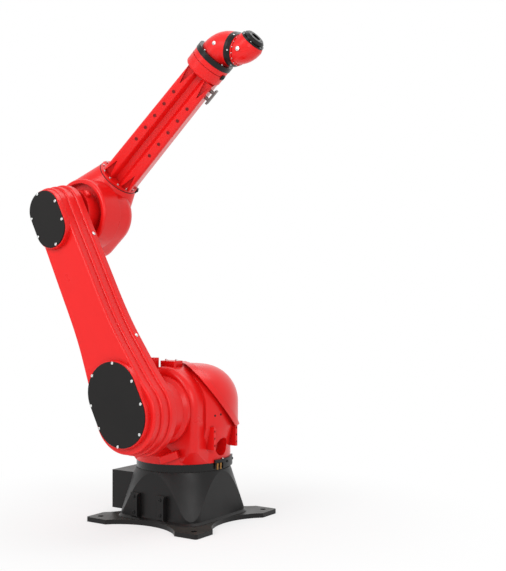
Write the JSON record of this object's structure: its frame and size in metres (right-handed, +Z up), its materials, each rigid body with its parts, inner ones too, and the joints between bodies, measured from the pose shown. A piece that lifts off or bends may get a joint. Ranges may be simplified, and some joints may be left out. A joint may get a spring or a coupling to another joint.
{
  "type": "painting robot arm",
  "caption": "Floor-standing six-axis spray-painting robot arm with a side-mounted upper arm, a slender grooved forearm and a bent hollow-style roll wrist.",
  "frame": {"origin": "centre of the floor bolt pattern, on the underside of the base, on the turning axis", "axes": "+Z up along the turning axis, +X forward with the forearm, +Y to the robot's left"},
  "size_m": [1.0848, 0.758, 2.1109],
  "materials": {
    "red_paint": "smooth semi-gloss red enamel on castings",
    "black_paint": "semi-matt black enamel on castings",
    "black_cover": "matt black cover plates",
    "black_ring": "satin black machined rings",
    "brass": "plain brass fittings"
  },
  "bodies": {
    "base": {"base_casting": "black_paint", "connector_box": "black_paint", "connector_lid": "black_paint", "connector_inlets": "black_cover", "side_brackets_right": "black_paint", "side_brackets_left": "black_paint", "turn_bearing": "black_ring"},
    "turret": {"turret_casting": "red_paint", "turret_hood": "red_paint", "hose_brackets": "red_paint", "turn_stop": "black_paint", "air_fittings": "brass", "shoulder_neck": "red_paint", "shoulder_lugs": "red_paint", "top_pad": "red_paint"},
    "upper_arm": {"upper_arm_casting": "red_paint", "shoulder_cover": "black_cover", "elbow_cover": "black_cover"},
    "forearm": {"elbow_housing": "red_paint", "elbow_rear_lid": "red_paint", "forearm_root": "red_paint", "forearm_tube": "red_paint", "forearm_hose_plate": "red_paint", "wrist_collar": "red_paint"},
    "wrist_roll": {"wrist_ring_1": "black_ring", "wrist_elbow_1": "red_paint"},
    "wrist_bend": {"wrist_ring_2": "black_ring", "wrist_elbow_2": "red_paint"},
    "tool": {"tool_ring": "black_ring", "tool_flange": "black_ring"}
  },
  "joints": [
    {"name": "base_turn", "type": "hinge", "parent": "base", "child": "turret", "pos_m": [0, 0, 0.2653], "axis": [0, 0, 1], "range_deg": [-162.5, 162.5]},
    {"name": "shoulder", "type": "hinge", "parent": "turret", "child": "upper_arm", "pos_m": [0.032, -0.29, 0.493], "axis": [0, 1, 0], "range_deg": [-97, 151]},
    {"name": "elbow", "type": "hinge", "parent": "upper_arm", "child": "forearm", "pos_m": [-0.40292, -0.29, 1.34658], "axis": [0, -1, 0], "range_deg": [-71.4, 222.6]},
    {"name": "wrist_roll", "type": "hinge", "parent": "forearm", "child": "wrist_roll", "pos_m": [0.18597, -0.03, 2.00174], "axis": [0.7501, 0, 0.6613], "range_deg": [-180, 180]},
    {"name": "wrist_bend", "type": "hinge", "parent": "wrist_roll", "child": "wrist_bend", "pos_m": [0.29427, -0.03, 2.03052], "axis": [0.9583, 0, -0.2857], "range_deg": [-180, 180]},
    {"name": "tool_roll", "type": "hinge", "parent": "wrist_bend", "child": "tool", "pos_m": [0.3894, -0.03, 2.04995], "axis": [0.7501, 0, 0.6613], "range_deg": [-360, 360]}
  ]
}
